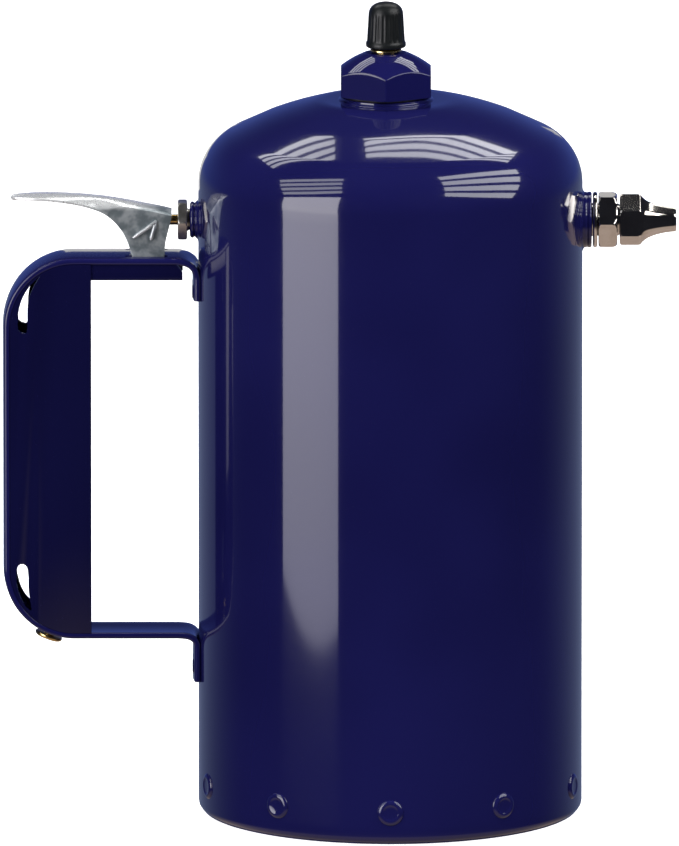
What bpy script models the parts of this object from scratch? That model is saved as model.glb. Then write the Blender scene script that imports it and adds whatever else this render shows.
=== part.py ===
"""Refillable compressed-air hand sprayer: steel canister, sheet handle, thumb lever, screw-on nozzle.

World frame: Z up, base on Z = 0, handle towards -X, nozzle towards +X. Sizes below are in millimetres.
"""

import math

import bmesh
import bpy

MM = 0.001

# Canister
TANK_X = 13.45  # the canister's axis, so that the whole sprayer is centred on X = 0
TANK_R = 50.8
WALL = 0.9
KNUCKLE_R = 15.0
KNUCKLE_Z = 168.4
CROWN_FLAT_Z = 190.6
CROWN_FLAT_R = 15.0
FLOOR_Z = 11.0
FLOOR_RISE = 5.0
BUTTON_COUNT = 10
BUTTON_R = 3.3
BUTTON_PROUD = 0.6
BUTTON_Z = 8.6
GAP = 0.3

# Filler
NECK_X = TANK_X - 1.2
NECK_R = 12.0
NECK_TOP_Z = 191.6
NECK_BOTTOM_Z = 183.0
NECK_HOLE_R = 9.8
CAP_AF = 23.8
CAP_Z = 192.2
CAP_CORNER_Z = 198.1
CAP_TOP_R = 5.6
CAP_TOP_Z = 203.2

# Outlet and lever
AXIS_Z = 158.3
ROD_R = 1.4
PIN_X = TANK_X - 62.1
PIN_R = 0.75
PIVOT_X = TANK_X - 63.4
PIVOT_Z = 149.1
EAR_Y = 5.2
EAR_T = 1.0

# Handle
STRAP_W = 16.0
STRAP_T = 1.6
ARM_TOP_Z = 149.1
ARM_LOW_Z = 46.9
CORNER_R = 19.0
STRAP_LEFT = TANK_X - 102.5
RIVET_DEG = 248.0

PAINT = ("blue_enamel", (0.012, 0.014, 0.075), 0.18, 0.0)
NICKEL = ("bright_nickel", (0.70, 0.66, 0.60), 0.15, 1.0)
ZINC = ("zinc_plate", (0.68, 0.70, 0.72), 0.28, 1.0)
BRASS = ("brass", (0.72, 0.53, 0.22), 0.30, 1.0)
STEEL = ("bare_steel", (0.50, 0.50, 0.50), 0.35, 1.0)
BLACK_PLASTIC = ("black_plastic", (0.010, 0.012, 0.014), 0.42, 0.0)
RUBBER = ("black_rubber", (0.020, 0.020, 0.020), 0.75, 0.0)
PTFE = ("white_packing", (0.80, 0.80, 0.76), 0.55, 0.0)


def clear_scene():
    for old in list(bpy.data.objects):
        bpy.data.objects.remove(old, do_unlink=True)


def material(kind):
    name, colour, roughness, metallic = kind
    found = bpy.data.materials.get(name)
    if found:
        return found
    made = bpy.data.materials.new(name)
    made.use_nodes = True
    shader = made.node_tree.nodes["Principled BSDF"]
    shader.inputs["Base Color"].default_value = (*colour, 1.0)
    shader.inputs["Roughness"].default_value = roughness
    shader.inputs["Metallic"].default_value = metallic
    made.diffuse_color = (*colour, 1.0)
    return made


def add_object(name, points, faces, kind, at=(0.0, 0.0, 0.0), turn=(0.0, 0.0, 0.0)):
    """One object from points and faces in millimetres, its origin at the point given in world millimetres."""
    mesh = bpy.data.meshes.new(name)
    shape = bmesh.new()
    corners = [shape.verts.new([value * MM for value in point]) for point in points]
    for face in faces:
        shape.faces.new([corners[i] for i in face])
    bmesh.ops.remove_doubles(shape, verts=shape.verts, dist=1e-7)
    bmesh.ops.dissolve_degenerate(shape, edges=shape.edges, dist=1e-7)
    bmesh.ops.recalc_face_normals(shape, faces=shape.faces)
    shape.to_mesh(mesh)
    shape.free()
    mesh.shade_smooth()
    mesh.set_sharp_from_angle(angle=math.radians(32))
    mesh.materials.append(material(kind))
    made = bpy.data.objects.new(name, mesh)
    made.location = [value * MM for value in at]
    made.rotation_euler = turn
    bpy.context.scene.collection.objects.link(made)
    return made


def loft(rings, closed):
    """Faces between rings of equal length. Closed joins the last ring to the first, else both ends get a cap."""
    count = len(rings[0])
    points = [point for ring in rings for point in ring]
    faces = []
    for row in range(len(rings) if closed else len(rings) - 1):
        low = row * count
        high = (row + 1) % len(rings) * count
        for i in range(count):
            j = (i + 1) % count
            faces.append((low + i, low + j, high + j, high + i))
    if not closed:
        faces.append(tuple(reversed(range(count))))
        faces.append(tuple(range(len(points) - count, len(points))))
    return points, faces


def turned(name, profile, kind, at=(0, 0, 0), along="Z", steps=32, across_flats=0.0, corner_deg=0.0, closed=True):
    """A turned piece from (radius, height) pairs. A third value marks a row cut to a hexagon across_flats wide."""
    rings = []
    for row in profile:
        ring = []
        for step in range(steps):
            angle = 2 * math.pi * step / steps
            radius = row[0]
            if len(row) > 2:
                from_corner = (angle - math.radians(corner_deg)) % (math.pi / 3)
                flat = across_flats / 2 / math.cos(from_corner - math.pi / 6)
                radius = min(radius, flat)
            ring.append((radius * math.cos(angle), radius * math.sin(angle), row[1]))
        rings.append(ring)
    points, faces = loft(rings, closed)
    turn = (0.0, math.radians(90), 0.0) if along == "X" else (0.0, 0.0, 0.0)
    return add_object(name, points, faces, kind, at, turn)


def slab(name, outline, low, high, kind):
    """A flat plate: an outline in X and Z, from Y = low to Y = high."""
    rings = [[(x, y, z) for x, z in outline] for y in (low, high)]
    points, faces = loft(rings, closed=False)
    return add_object(name, points, faces, kind)


def swept_tube(name, path, radius, kind, steps=8):
    """A round wire along a path of points."""
    rings = []
    side = None
    for i, point in enumerate(path):
        before = path[max(i - 1, 0)]
        after = path[min(i + 1, len(path) - 1)]
        run = [after[k] - before[k] for k in range(3)]
        size = math.sqrt(sum(v * v for v in run))
        run = [v / size for v in run]
        if side is None:
            side = [0.0, 0.0, 1.0] if abs(run[2]) < 0.9 else [1.0, 0.0, 0.0]
        dot = sum(side[k] * run[k] for k in range(3))
        side = [side[k] - dot * run[k] for k in range(3)]
        size = math.sqrt(sum(v * v for v in side))
        side = [v / size for v in side]
        other = [
            run[1] * side[2] - run[2] * side[1],
            run[2] * side[0] - run[0] * side[2],
            run[0] * side[1] - run[1] * side[0],
        ]
        ring = []
        for step in range(steps):
            angle = 2 * math.pi * step / steps
            c, s = math.cos(angle) * radius, math.sin(angle) * radius
            ring.append(tuple(point[k] + side[k] * c + other[k] * s for k in range(3)))
        rings.append(ring)
    points, faces = loft(rings, closed=False)
    return add_object(name, points, faces, kind)


def combine(target, tool, operation):
    """Joins or cuts with a Boolean. The tool becomes a hidden helper."""
    tool.hide_render = True
    tool.display_type = "WIRE"
    change = target.modifiers.new(tool.name, "BOOLEAN")
    change.operation = operation
    change.solver = "EXACT"
    change.object = tool


def cut(target, tool):
    combine(target, tool, "DIFFERENCE")


def join(target, tool):
    combine(target, tool, "UNION")


def rod_shape(name, radius, low, high, at, along="X", steps=24, turn=None):
    """A plain cylinder used as a helper for cuts and joins."""
    made = turned(name, [(0, low), (radius, low), (radius, high), (0, high)], STEEL, at, along, steps)
    if turn:
        made.rotation_euler = turn
    return made


def arc(centre_x, centre_z, radius, start, end, count):
    """Points on an arc in X and Z, from start to end degrees."""
    out = []
    for i in range(count + 1):
        angle = math.radians(start + (end - start) * i / count)
        out.append((centre_x + radius * math.cos(angle), centre_z + radius * math.sin(angle)))
    return out


def dome_profile(inset):
    """The canister's outside from the rim up to the flat round the neck, or its inside at the given inset."""
    crown_r, centre_z = 90.0, 192.5 - 90.0
    tangent = math.atan2(KNUCKLE_Z - centre_z, TANK_R - KNUCKLE_R)
    rows = [(TANK_R - inset, 0.0), (TANK_R - inset, 12.0), (TANK_R - inset, 90.0), (TANK_R - inset, KNUCKLE_Z)]
    for i in range(1, 7):
        angle = tangent * i / 6
        radius = KNUCKLE_R - inset
        rows.append((TANK_R - KNUCKLE_R + radius * math.cos(angle), KNUCKLE_Z + radius * math.sin(angle)))
    for radius in (30.0, 24.0):
        flat = crown_r - inset
        rows.append((radius, centre_z + math.sqrt(flat * flat - radius * radius)))
    rows.append((CROWN_FLAT_R + 3.0, CROWN_FLAT_Z - inset - 0.15))
    rows.append((CROWN_FLAT_R, CROWN_FLAT_Z - inset))
    return rows


def build_canister():
    outside = dome_profile(0.0)
    inside = dome_profile(WALL)
    profile = outside + [(NECK_HOLE_R, CROWN_FLAT_Z), (NECK_HOLE_R, CROWN_FLAT_Z - WALL)] + inside[::-1]
    shell = turned("tank_shell", profile, PAINT, (TANK_X, 0, 0), steps=72)
    for i in range(BUTTON_COUNT):
        angle = math.radians(-90 + 360 / BUTTON_COUNT * i)
        out = TANK_R + BUTTON_PROUD
        rows = [(0, TANK_R - 0.5), (BUTTON_R, TANK_R - 0.5), (BUTTON_R, out - 0.3), (BUTTON_R - 0.5, out), (0, out)]
        button = turned(f"button_{i}", rows, PAINT, (TANK_X, 0, BUTTON_Z), steps=14)
        button.rotation_euler = (0.0, math.radians(90), angle)
        join(shell, button)
    cut(shell, rod_shape("neck_hole", NECK_R + GAP, 180, 200, (NECK_X, 0, 0), "Z", 36))
    cut(shell, rod_shape("gland_hole", 4.9 + GAP, -60, -40, (TANK_X, 0, AXIS_Z)))
    cut(shell, rod_shape("outlet_hole", 7.4 + GAP, 40, 60, (TANK_X, 0, AXIS_Z)))

    outer = TANK_R - WALL - GAP
    inner = outer - WALL
    bend = 5.0
    top = [(outer, 0.0), (outer, FLOOR_Z - bend)]
    top += [(outer - bend + bend * math.cos(a), FLOOR_Z - bend + bend * math.sin(a)) for a in (0.5, 1.05, 1.5)]
    top += [(30.0, FLOOR_Z + FLOOR_RISE * 0.6), (15.0, FLOOR_Z + FLOOR_RISE * 0.9), (0, FLOOR_Z + FLOOR_RISE)]
    low = [(0, FLOOR_Z + FLOOR_RISE - WALL), (15.0, FLOOR_Z + FLOOR_RISE * 0.9 - WALL)]
    low += [(30.0, FLOOR_Z + FLOOR_RISE * 0.6 - WALL)]
    small = bend - WALL
    for a in (1.5, 1.05, 0.5):
        low.append((outer - bend + small * math.cos(a), FLOOR_Z - bend + small * math.sin(a)))
    low += [(inner, FLOOR_Z - bend), (inner, 0.0)]
    turned("bottom_head", top + low, PAINT, (TANK_X, 0, 0), steps=72)


def build_filler():
    neck = [
        (NECK_HOLE_R, NECK_BOTTOM_Z),
        (NECK_R - 0.6, NECK_BOTTOM_Z),
        (NECK_R, NECK_BOTTOM_Z + 0.6),
        (NECK_R, NECK_TOP_Z - 0.4),
        (NECK_R - 0.4, NECK_TOP_Z),
        (NECK_HOLE_R, NECK_TOP_Z),
    ]
    turned("filler_neck", neck, PAINT, (NECK_X, 0, 0), steps=36)

    seal_low = NECK_TOP_Z + 0.04
    seal = [(9.9, seal_low), (11.6, seal_low), (11.6, CAP_Z - 0.04), (9.9, CAP_Z - 0.04)]
    turned("cap_gasket", seal, RUBBER, (NECK_X, 0, 0), steps=36)

    corner = CAP_AF / math.sqrt(3)
    slope = (CAP_TOP_Z - CAP_CORNER_Z) / (corner - CAP_TOP_R)
    cap = [
        (6.6, 184.5),
        (9.4, 184.5),
        (9.4, CAP_Z),
        (12.4, CAP_Z),
        (corner, CAP_Z + 0.3, "hex"),
        (corner, CAP_CORNER_Z, "hex"),
        (12.6, CAP_CORNER_Z + slope * (corner - 12.6), "hex"),
        (11.85, CAP_CORNER_Z + slope * (corner - 11.85)),
        (CAP_TOP_R, CAP_TOP_Z),
        (3.5, CAP_TOP_Z),
        (3.5, 190.0),
        (6.6, 190.0),
    ]
    turned("filler_cap", cap, PAINT, (NECK_X, 0, 0), steps=48, across_flats=CAP_AF, corner_deg=-90.0)


def build_tyre_valve():
    at = (NECK_X, 0, 0)
    body = [
        (1.8, 190.6),
        (3.2, 190.6),
        (3.2, CAP_TOP_Z + GAP),
        (4.1, CAP_TOP_Z + GAP),
        (4.1, 204.3),
        (3.75, 204.6),
        (3.75, 212.6),
        (3.4, 213.2),
        (2.35, 213.2),
        (2.35, 205.2),
        (1.8, 205.2),
    ]
    turned("tyre_valve_body", body, BRASS, at, steps=24)
    core = [(0.85, 205.5), (2.05, 205.5), (2.05, 211.0), (1.7, 211.6), (0.85, 211.6)]
    turned("tyre_valve_core", core, BRASS, at, steps=16)
    pin = [(0, 202.6), (1.4, 202.6), (1.4, 203.6), (0.55, 204.2), (0.55, 212.6), (0.35, 212.9), (0, 212.9)]
    turned("tyre_valve_pin", pin, STEEL, at, steps=12)

    cap = [
        (4.05, 204.7),
        (5.3, 204.7),
        (5.3, 206.0),
        (5.0, 206.4),
        (4.6, 213.4),
        (4.3, 214.8),
        (3.5, 215.9),
        (2.2, 216.5),
        (0, 216.8),
        (0, 214.6),
        (3.2, 214.4),
        (4.05, 213.6),
    ]
    turned("dust_cap", cap, BLACK_PLASTIC, (NECK_X, 0, 0), steps=32)


def build_gland():
    """The threaded boss, its packing and the hexagon nut that squeezes it round the lever's rod."""
    at = (TANK_X, 0, AXIS_Z)
    boss = [
        (3.3, -53.0),
        (4.4, -53.0),
        (4.8, -52.6),
        (4.8, -52.0),
        (4.5, -51.8),
        (4.5, -51.6),
        (4.9, -51.4),
        (4.9, -43.0),
        (4.1, -43.0),
        (4.1, -46.6),
        (1.7, -46.6),
        (1.7, -48.6),
        (3.3, -48.6),
    ]
    turned("gland_boss", boss, PAINT, at, "X", 24)
    packing = [(1.45, -50.6), (3.0, -50.6), (3.0, -48.9), (1.45, -48.9)]
    turned("gland_packing", packing, PTFE, at, "X", 24)
    nut = [
        (1.45, -56.2),
        (4.6, -56.2),
        (5.6, -55.7, "hex"),
        (5.6, -54.1, "hex"),
        (4.6, -53.7),
        (3.0, -53.7),
        (3.0, -50.8),
        (1.45, -50.8),
    ]
    turned("packing_nut", nut, STEEL, at, "X", 24, across_flats=9.8, corner_deg=30.0)


def build_outlet():
    """The outlet boss, washer, adapter and tapered hexagon nozzle."""
    at = (TANK_X, 0, AXIS_Z)
    boss = [
        (4.1, 43.0),
        (7.4, 43.0),
        (7.4, 52.8),
        (7.0, 53.2),
        (4.75, 53.2),
        (4.75, 49.2),
        (1.7, 49.2),
        (1.7, 47.0),
        (4.1, 47.0),
    ]
    turned("outlet_boss", boss, PAINT, at, "X", 32)
    washer = [(4.75, 53.5), (7.0, 53.5), (7.3, 53.8), (7.3, 54.4), (7.0, 54.7), (4.75, 54.7)]
    turned("outlet_washer", washer, NICKEL, at, "X", 32)
    adapter = [
        (1.6, 49.5),
        (4.4, 49.5),
        (4.4, 55.0),
        (6.5, 55.0),
        (7.7, 55.5, "hex"),
        (7.7, 58.6, "hex"),
        (6.6, 59.6, "hex"),
        (5.4, 60.0),
        (4.2, 60.0),
        (4.2, 65.6),
        (1.6, 65.6),
    ]
    turned("nozzle_adapter", adapter, NICKEL, at, "X", 36, across_flats=13.4, corner_deg=30.0)
    nozzle = [
        (4.5, 60.6),
        (6.5, 60.6),
        (6.9, 60.9, "hex"),
        (6.9, 65.4, "hex"),
        (5.7, 67.3, "hex"),
    ]
    nozzle += [(4.9, 69.0), (4.2, 71.0), (3.7, 73.0), (3.35, 75.2), (3.1, 75.6)]
    nozzle += [(2.0, 75.6), (1.2, 74.6), (1.2, 66.0), (4.5, 66.0)]
    turned("spray_nozzle", nozzle, NICKEL, at, "X", 36, across_flats=11.9, corner_deg=0.0)


def build_valve():
    """The long rod, its seal, spring, the tube that carries it and the dip tube that feeds the tube."""
    at = (TANK_X, 0, AXIS_Z)
    rod = [
        (0, -62.5),
        (ROD_R, -62.5),
        (ROD_R, -30.6),
        (2.7, -30.6),
        (2.7, -29.4),
        (ROD_R, -29.4),
        (ROD_R, 43.0),
        (2.8, 43.4),
        (2.8, 45.2),
        (0, 45.2),
    ]
    rod_piece = turned("valve_rod", rod, BRASS, at, "X", 16)
    eye = rod_shape("rod_eye", 2.05, -1.9, 1.9, (PIN_X, 0, AXIS_Z), "Z", 20, (math.radians(90), 0, 0))
    join(rod_piece, eye)
    hole = rod_shape("rod_pin_hole", PIN_R + 0.22, -4, 4, (PIN_X, 0, AXIS_Z), "Z", 16, (math.radians(90), 0, 0))
    cut(rod_piece, hole)
    seal = [(0, 45.5), (2.9, 45.5), (2.9, 46.96), (0, 46.96)]
    turned("valve_seal", seal, RUBBER, at, "X", 16)

    coil_turns, coil_low, coil_high, coil_r, wire_r = 6, -45.9, -31.2, 2.25, 0.3
    path = []
    for i in range(coil_turns * 10 + 1):
        angle = 2 * math.pi * i / 10
        x = coil_low + (coil_high - coil_low) * i / (coil_turns * 10)
        path.append((TANK_X + x, coil_r * math.cos(angle), AXIS_Z + coil_r * math.sin(angle)))
    swept_tube("return_spring", path, wire_r, STEEL, 6)

    tube = [(3.1, -46.3), (3.8, -46.3), (3.8, 46.7), (3.1, 46.7)]
    cross = turned("cross_tube", tube, BRASS, at, "X", 24)
    cut(cross, rod_shape("dip_hole", 2.0, -6, 0, at, "Z", 16))
    dip = [(2.1, 24.0), (2.8, 24.0), (2.8, AXIS_Z - 4.1), (2.1, AXIS_Z - 4.1)]
    turned("dip_tube", dip, BRASS, (TANK_X, 0, 0), steps=18)


def lever_web():
    """The bowed top of the lever: a strip that narrows to a rounded thumb tip."""
    rows = [
        (-100.4, 164.2, 2.4),
        (-98.6, 164.7, 4.4),
        (-95.0, 165.1, 5.6),
        (-90.0, 165.1, 6.0),
        (-84.0, 164.7, 5.9),
        (-78.0, 164.0, 5.6),
        (-72.0, 163.1, EAR_Y),
        (-66.0, 162.1, EAR_Y),
        (-60.5, 161.3, EAR_Y),
        (-57.5, 160.9, EAR_Y),
    ]
    rings = []
    for x, z, half in rows:
        x += TANK_X
        crown = 0.35
        ring = [(x, -half, z - crown), (x, -half * 0.5, z), (x, half * 0.5, z), (x, half, z - crown)]
        ring += [(x, half, z - EAR_T), (x, half * 0.5, z - EAR_T + 0.1)]
        ring += [(x, -half * 0.5, z - EAR_T + 0.1), (x, -half, z - EAR_T)]
        rings.append(ring)
    return loft(rings, closed=False)


def build_lever():
    points, faces = lever_web()
    local = [(x - PIVOT_X, y, z - PIVOT_Z) for x, y, z in points]
    lever = add_object("lever", local, faces, ZINC, (PIVOT_X, 0, PIVOT_Z))
    outline = [
        (-57.5, 160.6),
        (-58.3, 158.0),
        (-59.4, 154.5),
        (-59.7, 152.0),
        (-59.8, 146.2),
        (-66.8, 146.2),
        (-67.0, 150.4),
        (-67.6, 152.9),
        (-69.1, 155.6),
        (-72.6, 158.8),
        (-78.7, 162.2),
        (-84.0, 163.9),
        (-78.0, 163.5),
        (-72.0, 162.6),
        (-66.0, 161.6),
        (-60.5, 160.8),
    ]
    outline = [(x + TANK_X, z) for x, z in outline]
    for side in (-1, 1):
        low, high = sorted((side * EAR_Y, side * (EAR_Y - EAR_T)))
        join(lever, slab(f"ear_{high:.0f}", outline, low, high, ZINC))
    cut(lever, rod_shape("lever_pin_hole", PIN_R + 0.06, -9, 9, (PIN_X, 0, AXIS_Z), "Z", 16, (math.radians(90), 0, 0)))

    pin_path = [(PIN_X, EAR_Y + 2.6, AXIS_Z), (PIN_X, -EAR_Y - 0.95, AXIS_Z)]
    pin = swept_tube("cotter_pin", pin_path, PIN_R, ZINC, 12)
    ring_r = 0.6
    rings = []
    for i in range(12):
        angle = 2 * math.pi * i / 12
        ring = []
        for k in range(8):
            turn = 2 * math.pi * k / 8
            reach = 1.45 + ring_r * math.cos(turn)
            x = PIN_X + reach * math.cos(angle)
            y = EAR_Y + 2.9 + reach * math.sin(angle)
            ring.append((x, y, AXIS_Z + ring_r * math.sin(turn)))
        rings.append(ring)
    points, faces = loft(rings, closed=True)
    join(pin, add_object("pin_loop", points, faces, ZINC))
    y = -EAR_Y - 0.85
    long_leg = [(PIN_X, y + 0.3, AXIS_Z), (PIN_X - 0.8, y, AXIS_Z - 0.5), (PIN_X - 5.6, y - 0.2, AXIS_Z - 3.8)]
    short_leg = [(PIN_X, y + 0.3, AXIS_Z), (PIN_X - 0.3, y, AXIS_Z - 0.9), (PIN_X - 1.1, y - 0.2, AXIS_Z - 4.2)]
    join(pin, swept_tube("pin_leg_long", long_leg, 0.6, ZINC, 8))
    join(pin, swept_tube("pin_leg_short", short_leg, 0.58, ZINC, 8))


def strap_path():
    """Middle line of the strap in X and Z from the upper weld tab round to the lower one, with how tab-like it is."""
    half = STRAP_T / 2
    tab_x = TANK_X - TANK_R - GAP - half
    corner_x = STRAP_LEFT + CORNER_R
    mid_r = CORNER_R - half
    rows = [(tab_x, 137.6, 1.0), (tab_x, 142.6, 1.0)]
    bend = 5.4
    for x, z in arc(tab_x - bend, ARM_TOP_Z - half - bend, bend, 0, 90, 5)[1:]:
        rows.append((x, z, 0.0 if z > ARM_TOP_Z - half - bend * 0.6 else 0.6))
    rows += [(x, z, 0.0) for x, z in arc(corner_x, ARM_TOP_Z - CORNER_R, mid_r, 90, 180, 8)]
    rows += [(x, z, 0.0) for x, z in arc(corner_x, ARM_LOW_Z + CORNER_R, mid_r, 180, 270, 8)]
    bend = 2.8
    for x, z in arc(tab_x - bend, ARM_LOW_Z + half - bend, bend, 90, 0, 4):
        rows.append((x, z, 0.0 if z > ARM_LOW_Z + half - bend * 0.5 else 1.0))
    rows.append((tab_x, 35.5, 1.0))
    return rows


def build_handle():
    rows = strap_path()
    stations = [-STRAP_W / 2, -STRAP_W / 4, 0.0, STRAP_W / 4, STRAP_W / 2]
    rings = []
    for i, (x, z, tab) in enumerate(rows):
        before = rows[max(i - 1, 0)]
        after = rows[min(i + 1, len(rows) - 1)]
        run_x, run_z = after[0] - before[0], after[1] - before[1]
        size = math.hypot(run_x, run_z)
        out_x, out_z = run_z / size * STRAP_T / 2, -run_x / size * STRAP_T / 2
        ring = []
        for side, order in ((1, stations), (-1, stations[::-1])):
            for y in order:
                hug = tab * (TANK_R - math.sqrt(TANK_R * TANK_R - y * y))
                ring.append((x + side * out_x + hug, y, z + side * out_z))
        rings.append(ring)
    points, faces = loft(rings, closed=False)
    strap = add_object("handle_strap", points, faces, PAINT)
    for side in (-1, 1):
        low, high = sorted((side * (EAR_Y + GAP), side * (EAR_Y - EAR_T - GAP)))
        slot = [(-68.3, 140.0), (-58.9, 140.0), (-58.9, 153.0), (-68.3, 153.0)]
        cut(strap, slab(f"lever_slot_{high:.0f}", [(x + TANK_X, z) for x, z in slot], low, high, PAINT))

    corner_x, corner_z = STRAP_LEFT + CORNER_R, ARM_LOW_Z + CORNER_R
    tilt = math.radians(90 - RIVET_DEG)
    hole = rod_shape("rivet_hole", 1.6, 14.0, 22.0, (corner_x, 0, corner_z), "Z", 16, (0, tilt, 0))
    cut(strap, hole)
    rivet = [
        (0, 16.0),
        (2.2, 16.0),
        (2.5, 16.4),
        (2.5, 17.0),
        (1.3, 17.0),
        (1.3, CORNER_R + 0.2),
        (3.7, CORNER_R + 0.2),
        (3.7, CORNER_R + 0.9),
        (3.2, CORNER_R + 1.3),
        (0, CORNER_R + 1.3),
    ]
    piece = turned("corner_rivet", rivet, BRASS, (corner_x, 0, corner_z), steps=16)
    piece.rotation_euler = (0, tilt, 0)


def build_grip():
    """The U-shaped sheet inside the strap, which fills the hand out and stiffens the upper arm."""
    left = STRAP_LEFT + STRAP_T + GAP
    reach = CORNER_R - STRAP_T - GAP
    corner_x = STRAP_LEFT + CORNER_R
    right = TANK_X - 79.2
    sheet = 0.9
    top = ARM_TOP_Z - STRAP_T - GAP
    low = ARM_LOW_Z + STRAP_T + GAP
    outline = [(right, low), (right, top)]
    outline += arc(corner_x, ARM_TOP_Z - CORNER_R, reach, 90, 180, 7)
    outline += arc(corner_x, ARM_LOW_Z + CORNER_R, reach, 180, 270, 7)
    half = STRAP_W / 2
    grip = slab("grip_channel", outline, -half, -half + sheet, PAINT)
    join(grip, slab("grip_side_back", outline, half - sheet, half, PAINT))
    web = [(left, 70.0), (left + sheet, 70.0), (left + sheet, 130.0), (left, 130.0)]
    join(grip, slab("grip_web", web, -half, half, PAINT))
    panel = [(-84.0, top), (-56.4, top), (-54.9, 145.4), (-54.9, 143.3), (-84.0, 143.3)]
    panel = [(x + (TANK_X if x < 0 else 0), z) for x, z in panel]
    for side in (-1, 1):
        near, far = sorted((side * (half - 0.6), side * (half - 1.5)))
        join(grip, slab(f"arm_side_{far:.0f}", panel, near, far, PAINT))
    upper_slot = [
        (-98.4, 129.9),
        (-97.2, 129.2),
        (-96.0, 129.8),
        (-95.8, 137.0),
        (-94.4, 141.3),
        (-92.6, 144.3),
        (-95.3, 141.7),
        (-97.2, 138.6),
        (-98.2, 135.2),
    ]
    lower_slot = [
        (-98.8, 66.4),
        (-98.3, 67.3),
        (-97.2, 67.6),
        (-96.2, 66.9),
        (-95.7, 64.6),
        (-95.7, 60.6),
        (-96.1, 58.7),
        (-97.4, 60.8),
        (-98.6, 63.8),
    ]
    for name, slot in (("upper_slot", upper_slot), ("lower_slot", lower_slot)):
        cut(grip, slab(name, [(x + TANK_X, z) for x, z in slot], -20, 20, PAINT))


clear_scene()
build_canister()
build_filler()
build_tyre_valve()
build_gland()
build_outlet()
build_valve()
build_lever()
build_handle()
build_grip()
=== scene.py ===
"""A one-quart compressed-air hand sprayer in blue enamel, with its plated lever, gland and nozzle."""
import math

import bmesh
import bpy
import mathutils
import numpy as np
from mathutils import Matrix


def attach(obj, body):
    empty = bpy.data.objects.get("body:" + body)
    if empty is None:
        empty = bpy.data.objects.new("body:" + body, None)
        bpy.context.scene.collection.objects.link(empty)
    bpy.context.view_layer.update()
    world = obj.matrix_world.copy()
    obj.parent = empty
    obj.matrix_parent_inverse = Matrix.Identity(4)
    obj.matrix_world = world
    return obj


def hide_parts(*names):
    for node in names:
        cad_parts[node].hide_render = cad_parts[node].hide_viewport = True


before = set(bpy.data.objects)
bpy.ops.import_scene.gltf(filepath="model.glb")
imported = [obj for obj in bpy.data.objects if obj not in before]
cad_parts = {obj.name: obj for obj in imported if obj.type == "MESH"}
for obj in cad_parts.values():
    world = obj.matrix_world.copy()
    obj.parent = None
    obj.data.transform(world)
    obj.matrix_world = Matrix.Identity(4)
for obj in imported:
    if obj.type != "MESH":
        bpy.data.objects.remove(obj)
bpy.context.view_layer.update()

# ----------------
# Canister. Drawn steel with a domed top, sprayed and baked in dark blue enamel.
# Ten projection welds hold the dished bottom; their buttons stand round the base.

MM = 0.001
TANK_X = 13.45
TANK_R = 50.8
AXIS_Z = 158.3
NECK_X = TANK_X - 1.2


class Signal:
    """A shader socket that adds, multiplies and so on with others and with plain numbers."""

    def __init__(self, graph, socket):
        self.graph = graph
        self.socket = socket

    def _operator(operation, swapped=False):
        """A maths node's operator; swapped is for a plain number on its left."""

        def apply(self, other):
            first, second = (other, self) if swapped else (self, other)
            return self.graph.node("ShaderNodeMath", {"operation": operation}, {0: first, 1: second})

        return apply

    __add__, __radd__ = _operator("ADD"), _operator("ADD", True)
    __sub__, __rsub__ = _operator("SUBTRACT"), _operator("SUBTRACT", True)
    __mul__, __rmul__ = _operator("MULTIPLY"), _operator("MULTIPLY", True)
    __rtruediv__, __pow__ = _operator("DIVIDE", True), _operator("POWER")


class Graph:
    """A tree of shader nodes, one node at a time."""

    def __init__(self, tree):
        self.tree = tree

    def node(self, kind, settings=None, inputs=None, output=0):
        made = self.tree.nodes.new(kind)
        for name, value in (settings or {}).items():
            setattr(made, name, value)
        for name, value in (inputs or {}).items():
            if isinstance(value, Signal):
                self.tree.links.new(value.socket, made.inputs[name])
            else:
                made.inputs[name].default_value = value
        return Signal(self, made.outputs[output])

    def axes(self, place):
        """The three coordinates of a place or a direction."""
        split = self.node("ShaderNodeSeparateXYZ", None, {0: place}).socket.node
        return [Signal(self, socket) for socket in split.outputs]

    def band(self, signal, low, high):
        """A soft step from 0 at low to 1 at high."""
        inputs = {"Value": signal, "From Min": low, "From Max": high, "To Min": 0.0, "To Max": 1.0}
        return self.node("ShaderNodeMapRange", {"interpolation_type": "SMOOTHSTEP", "clamp": True}, inputs)

    def blend(self, factor, first, second):
        """Two colours mixed by a signal."""
        settings = {"data_type": "RGBA", "clamp_factor": True}
        return self.node("ShaderNodeMix", settings, {0: factor, 6: first, 7: second}, output=2)


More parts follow.
